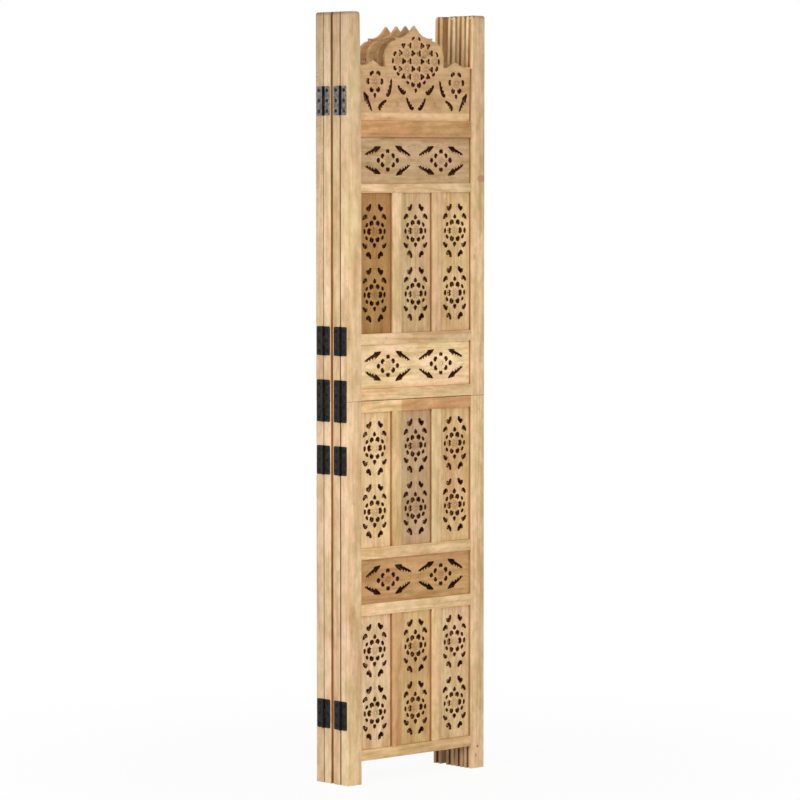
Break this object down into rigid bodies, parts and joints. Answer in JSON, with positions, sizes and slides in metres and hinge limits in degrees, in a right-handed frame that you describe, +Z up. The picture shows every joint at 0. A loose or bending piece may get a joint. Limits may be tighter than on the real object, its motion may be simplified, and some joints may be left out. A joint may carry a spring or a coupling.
{
  "type": "folding screen",
  "caption": "Folding wooden room-divider screen of hinged framed panels with pierced jali boards and ogee crests, shown folded.",
  "frame": {"origin": "centre of the folded screen's outline, at the floor", "axes": "+X across a panel to the right as seen from the front, +Y from panel 1 at the front to panel 4 at the back, +Z up"},
  "size_m": [0.4124, 0.1198, 1.65],
  "materials": {
    "stile_wood": "raw planed pale wood, faintly sealed",
    "rail_wood": "raw planed pale wood, faintly sealed",
    "muntin_wood": "raw planed pale wood, faintly sealed",
    "jali_wood": "raw sanded pale wood with hand-cut piercings",
    "cross_jali_wood": "raw sanded pale wood with hand-cut piercings",
    "crest_wood": "raw sanded pale wood with hand-cut piercings",
    "tenon_wood": "raw wood",
    "hinge_steel": "satin black",
    "pin_steel": "satin black"
  },
  "bodies": {
    "panel_1": {"panel_1_upper_left_stile": "stile_wood", "panel_1_upper_right_stile": "stile_wood", "panel_1_lower_left_stile": "stile_wood", "panel_1_lower_right_stile": "stile_wood", "panel_1_upper_rails": "rail_wood", "panel_1_lower_rails": "rail_wood", "panel_1_muntins": "muntin_wood", "panel_1_upright_jalis": "jali_wood", "panel_1_cross_jalis": "cross_jali_wood", "panel_1_crest": "crest_wood", "panel_1_section_tenons": "tenon_wood", "fold_1_2_front_leaves": "hinge_steel", "fold_1_2_pins": "pin_steel"},
    "panel_2": {"panel_2_upper_left_stile": "stile_wood", "panel_2_upper_right_stile": "stile_wood", "panel_2_lower_left_stile": "stile_wood", "panel_2_lower_right_stile": "stile_wood", "panel_2_upper_rails": "rail_wood", "panel_2_lower_rails": "rail_wood", "panel_2_muntins": "muntin_wood", "panel_2_upright_jalis": "jali_wood", "panel_2_cross_jalis": "cross_jali_wood", "panel_2_crest": "crest_wood", "panel_2_section_tenons": "tenon_wood", "fold_2_3_front_leaves": "hinge_steel", "fold_2_3_pins": "pin_steel", "fold_1_2_rear_leaves": "hinge_steel"},
    "panel_3": {"panel_3_upper_left_stile": "stile_wood", "panel_3_upper_right_stile": "stile_wood", "panel_3_lower_left_stile": "stile_wood", "panel_3_lower_right_stile": "stile_wood", "panel_3_upper_rails": "rail_wood", "panel_3_lower_rails": "rail_wood", "panel_3_muntins": "muntin_wood", "panel_3_upright_jalis": "jali_wood", "panel_3_cross_jalis": "cross_jali_wood", "panel_3_crest": "crest_wood", "panel_3_section_tenons": "tenon_wood", "fold_3_4_front_leaves": "hinge_steel", "fold_3_4_pins": "pin_steel", "fold_2_3_rear_leaves": "hinge_steel"},
    "panel_4": {"panel_4_upper_left_stile": "stile_wood", "panel_4_upper_right_stile": "stile_wood", "panel_4_lower_left_stile": "stile_wood", "panel_4_lower_right_stile": "stile_wood", "panel_4_upper_rails": "rail_wood", "panel_4_lower_rails": "rail_wood", "panel_4_muntins": "muntin_wood", "panel_4_upright_jalis": "jali_wood", "panel_4_cross_jalis": "cross_jali_wood", "panel_4_crest": "crest_wood", "panel_4_section_tenons": "tenon_wood", "fold_3_4_rear_leaves": "hinge_steel"}
  },
  "joints": [
    {"name": "fold_1_2", "type": "hinge", "parent": "panel_1", "child": "panel_2", "pos_m": [-0.2032, -0.03643, 0.823], "axis": [0, 0, 1], "range_deg": [-0.5, 179.5]},
    {"name": "fold_2_3", "type": "hinge", "parent": "panel_2", "child": "panel_3", "pos_m": [0.20295, -0.00589, 0.823], "axis": [0, 0, -1], "range_deg": [0, 180]},
    {"name": "fold_3_4", "type": "hinge", "parent": "panel_3", "child": "panel_4", "pos_m": [-0.20367, 0.01681, 0.823], "axis": [0, 0, 1], "range_deg": [-2.4, 177.6]}
  ]
}
